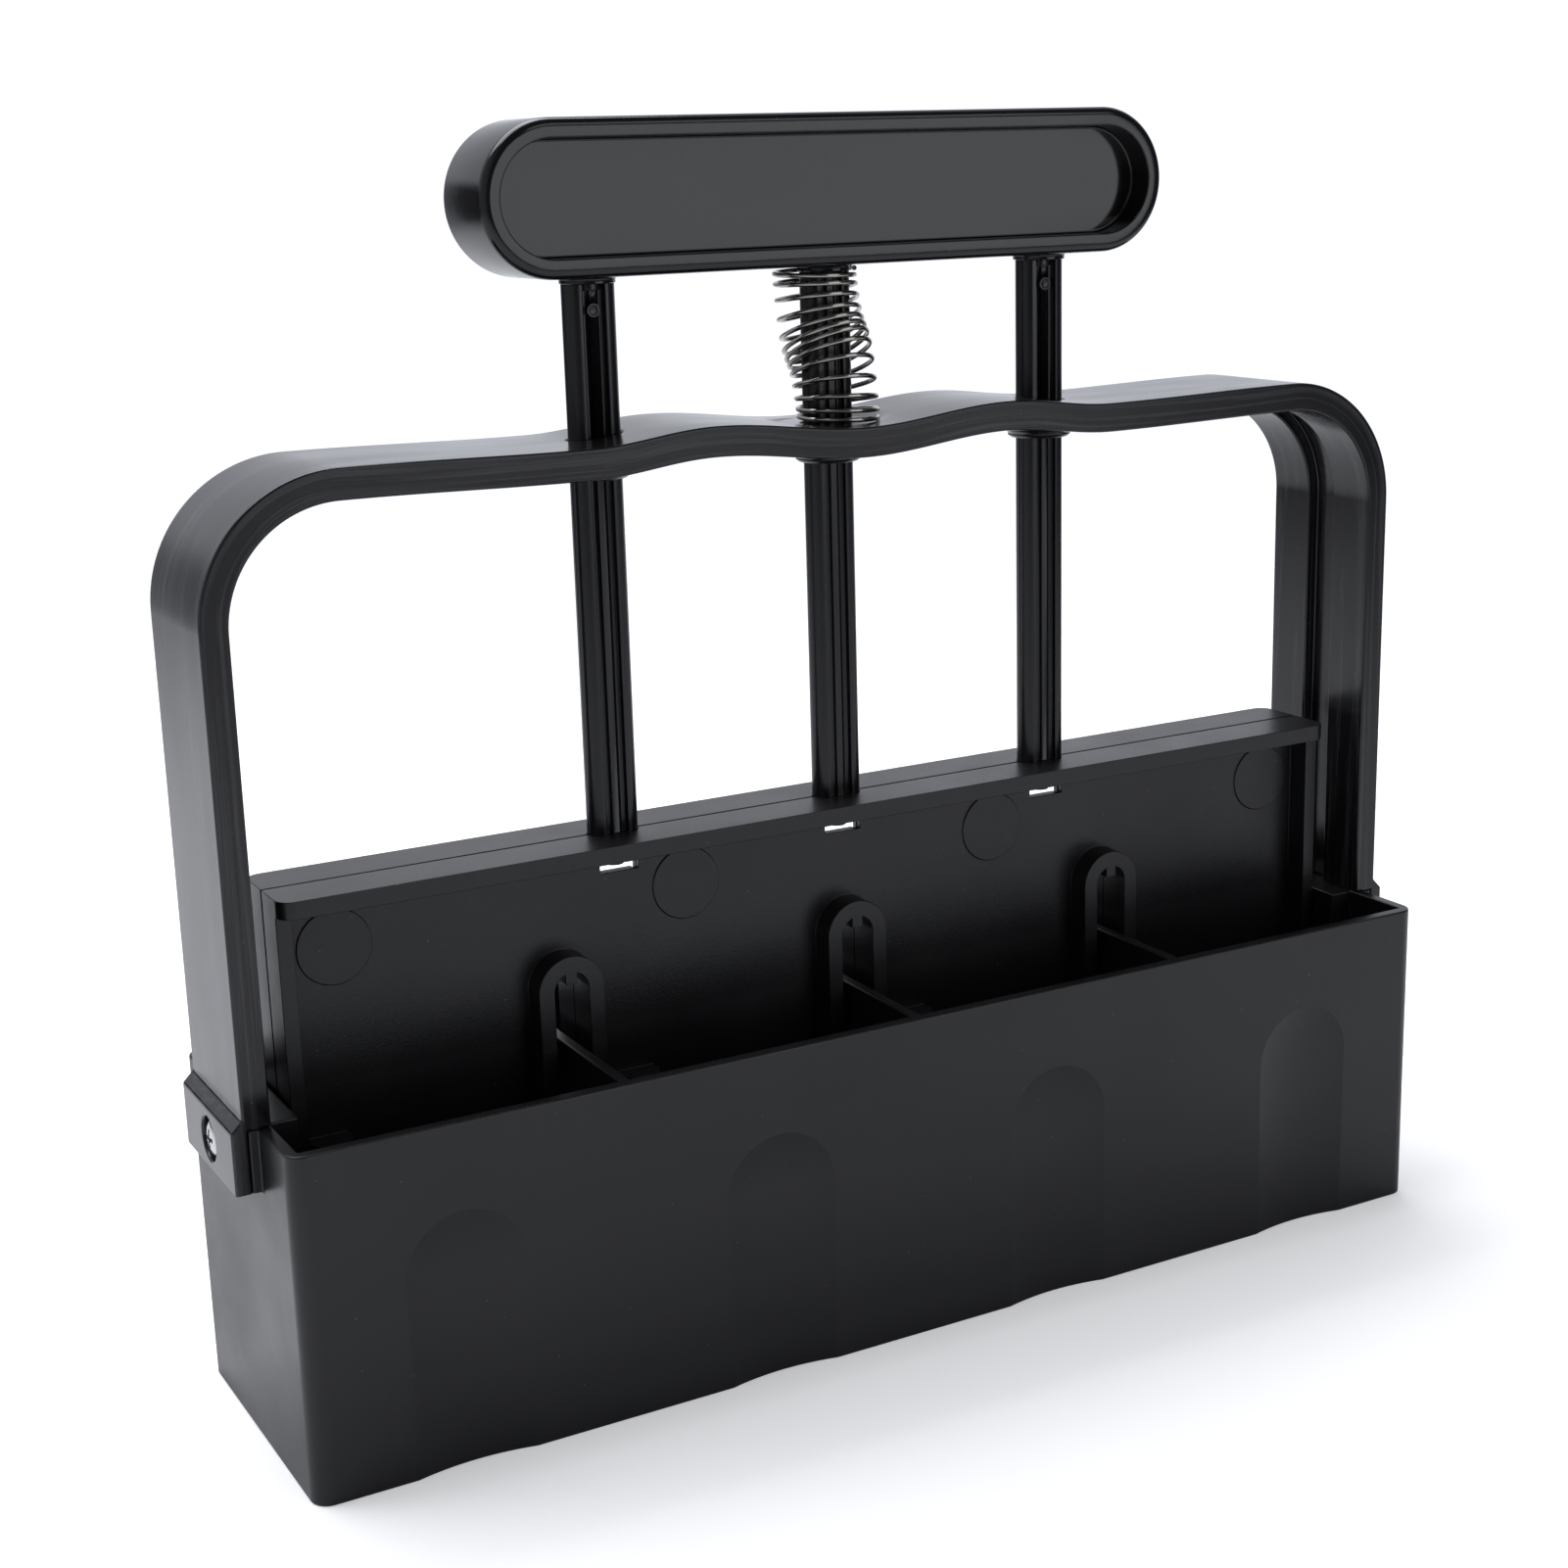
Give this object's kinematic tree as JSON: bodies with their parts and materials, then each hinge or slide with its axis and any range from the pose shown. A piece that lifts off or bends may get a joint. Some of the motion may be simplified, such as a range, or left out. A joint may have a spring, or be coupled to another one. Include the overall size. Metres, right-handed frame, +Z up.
{
  "type": "soil blocker",
  "caption": "Hand soil blocker: an open mould box with a row of square cells, an arched carrying frame, and a spring-returned press plunger on fluted rods under a bar handle.",
  "frame": {"origin": "centre of the mould box's underside", "axes": "+X along the row of cells, -Y towards the front, +Z up towards the handle"},
  "size_m": [0.2224, 0.053, 0.1994],
  "materials": {
    "box_plastic": "satin black injection-moulded plastic",
    "frame_plastic": "gloss black injection-moulded plastic",
    "handle_plastic": "high gloss black injection-moulded plastic",
    "rod_plastic": "gloss black injection-moulded plastic",
    "plunger_plastic": "fine-textured satin black plastic",
    "plate_plastic": "satin black plastic",
    "spring_steel": "drawn spring-steel wire, grey and glossy",
    "plated_steel": "bright zinc-plated steel"
  },
  "bodies": {
    "box": {"mould_box": "box_plastic", "frame": "frame_plastic", "frame_screws": "plated_steel", "frame_nuts": "plated_steel", "spring": "spring_steel"},
    "plunger": {"plunger_front": "plunger_plastic", "plunger_rear": "plunger_plastic", "press_plate_1": "plate_plastic", "press_plate_2": "plate_plastic", "press_plate_3": "plate_plastic", "press_plate_4": "plate_plastic", "seed_pin_1": "plate_plastic", "seed_pin_2": "plate_plastic", "seed_pin_3": "plate_plastic", "seed_pin_4": "plate_plastic", "plate_screws": "plated_steel", "rod_left": "rod_plastic", "rod_centre": "rod_plastic", "rod_right": "rod_plastic", "handle": "handle_plastic"}
  },
  "joints": [
    {"name": "plunger_slide", "type": "slide", "parent": "box", "child": "plunger", "axis": [0, 0, -1], "range_m": [0, 0.01], "stiffness_N_per_m": 150, "springref_m": -0.02, "deforming": ["spring"]}
  ]
}
